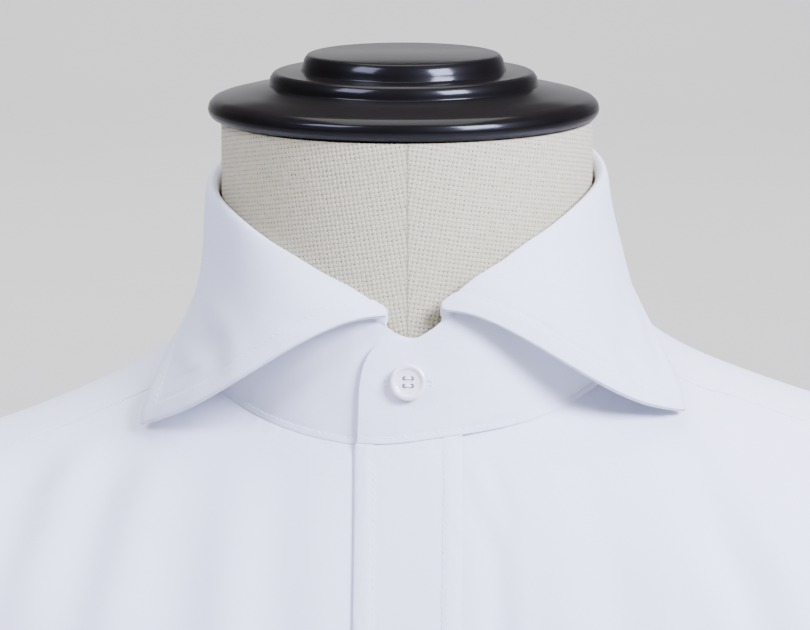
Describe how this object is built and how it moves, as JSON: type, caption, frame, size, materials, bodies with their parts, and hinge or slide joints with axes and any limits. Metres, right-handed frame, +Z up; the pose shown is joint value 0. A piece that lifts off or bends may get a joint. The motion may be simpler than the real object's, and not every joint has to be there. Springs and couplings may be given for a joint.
{
  "type": "cutaway-collar dress shirt on a dress form",
  "caption": "Long-sleeved dress shirt with a tall cutaway collar, buttoned, worn by a limbless linen tabletop form with a turned black cap and base.",
  "frame": {"origin": "centre of the base's underside", "axes": "+Z up along the form's stem, the shirt's front faces -Y, +X is towards the shirt's own left sleeve"},
  "size_m": [0.5108, 0.276, 0.9133],
  "materials": {
    "poplin": "white cotton poplin",
    "button": "off-white shell",
    "linen": "natural plain-woven linen",
    "lacquer": "gloss black lacquer"
  },
  "bodies": {
    "root": {"collar_leaf": "poplin", "collar_stand": "poplin", "yoke": "poplin", "front_left": "poplin", "front_right": "poplin", "placket": "poplin", "back": "poplin", "sleeve_left": "poplin", "sleeve_right": "poplin", "cuff_left": "poplin", "cuff_right": "poplin", "button_collar": "button", "button_front_1": "button", "button_front_2": "button", "button_front_3": "button", "button_front_4": "button", "button_front_5": "button", "button_front_6": "button", "button_front_7": "button", "button_cuff_left": "button", "button_cuff_right": "button", "form_torso": "linen", "form_cap": "lacquer", "form_stem": "lacquer", "form_base": "lacquer"}
  },
  "joints": []
}
